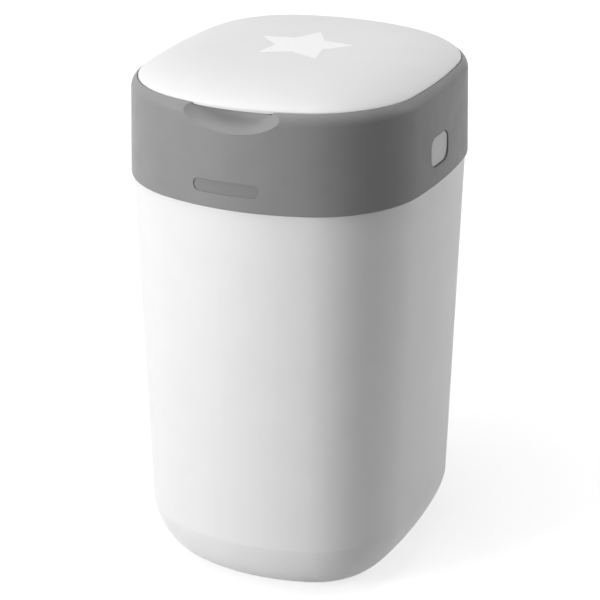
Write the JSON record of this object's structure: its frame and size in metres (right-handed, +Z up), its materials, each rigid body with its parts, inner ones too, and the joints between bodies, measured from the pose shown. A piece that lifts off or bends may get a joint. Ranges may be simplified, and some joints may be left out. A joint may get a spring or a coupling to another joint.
{
  "type": "nappy bin",
  "caption": "Rounded-square nappy bin: white tapered tub, grey collar with a finger scoop and side release buttons, and a gently domed hinged lid with a star.",
  "frame": {"origin": "centre of the footprint on the floor", "axes": "+Z up, -Y is the front with the finger scoop, +X is the right-hand side seen from behind the lid's hinge"},
  "size_m": [0.25, 0.28, 0.436],
  "materials": {
    "tub_white": "satin white moulded plastic",
    "rubber_grey": "grey rubber",
    "collar_grey": "fine matt grey moulded plastic",
    "deck_grey": "light grey moulded plastic",
    "steel": "plated steel",
    "lid_white": "satin near-white moulded plastic",
    "liner_white": "near-white moulded plastic",
    "rubber_dark": "dark soft rubber",
    "star_white": "smooth bright white plastic",
    "cup_white": "smooth white plastic",
    "cassette_blue": "pale blue plastic",
    "cassette_cap_blue": "lighter pale blue plastic",
    "film": "pleated translucent film",
    "pawl_white": "natural white plastic",
    "cutter_orange": "orange safety plastic",
    "button_grey": "light grey moulded plastic"
  },
  "bodies": {
    "base": {"tub": "tub_white", "foot_front_left": "rubber_grey", "foot_front_right": "rubber_grey", "foot_rear_left": "rubber_grey", "foot_rear_right": "rubber_grey", "collar": "collar_grey", "deck": "deck_grey", "deck_screw_1": "steel", "deck_screw_2": "steel", "deck_screw_3": "steel", "deck_screw_4": "steel", "hinge_pin": "steel", "pawl_pin": "steel", "chute": "deck_grey", "chute_screw_1": "steel", "chute_screw_2": "steel", "chute_screw_3": "steel", "chute_screw_4": "steel", "finger_ring": "rubber_dark", "cutter_rail": "deck_grey", "latch_guide_left": "deck_grey", "latch_guide_right": "deck_grey", "latch_spring_left": "steel", "latch_spring_right": "steel"},
    "lid": {"lid_shell": "lid_white", "lid_liner": "liner_white", "lid_seal": "rubber_dark", "star_inlay": "star_white"},
    "twist_cup_and_cassette": {"twist_cup": "cup_white", "cassette_body": "cassette_blue", "cassette_cap": "cassette_cap_blue", "film_pack": "film"},
    "click_pawl_body": {"click_pawl": "pawl_white"},
    "cutter": {"cutter_slider": "cutter_orange", "cutter_blade": "steel"},
    "left_release": {"button_left": "button_grey", "latch_left": "pawl_white"},
    "right_release": {"button_right": "button_grey", "latch_right": "pawl_white"}
  },
  "joints": [
    {"name": "lid_hinge", "type": "hinge", "parent": "base", "child": "lid", "pos_m": [0, 0.1308, 0.4145], "axis": [-1, 0, 0], "range_deg": [0, 100]},
    {"name": "twist_cup_turn", "type": "hinge", "parent": "base", "child": "twist_cup_and_cassette", "pos_m": [0, 0, 0.372], "axis": [0, 0, 1], "continuous": true},
    {"name": "click_pawl_swing", "type": "hinge", "parent": "base", "child": "click_pawl_body", "pos_m": [0.011, 0.0985, 0.369], "axis": [0, 0, -1], "range_deg": [0, 10], "stiffness_Nm_per_rad": 0.02},
    {"name": "cutter_slide", "type": "slide", "parent": "base", "child": "cutter", "axis": [1, 0, 0], "range_m": [0, 0.0702]},
    {"name": "left_release_press", "type": "slide", "parent": "base", "child": "left_release", "axis": [1, 0, 0], "range_m": [0, 0.004], "stiffness_N_per_m": 900, "deforming": ["latch_spring_left"]},
    {"name": "right_release_press", "type": "slide", "parent": "base", "child": "right_release", "axis": [-1, 0, 0], "range_m": [0, 0.004], "stiffness_N_per_m": 900, "deforming": ["latch_spring_right"]}
  ]
}
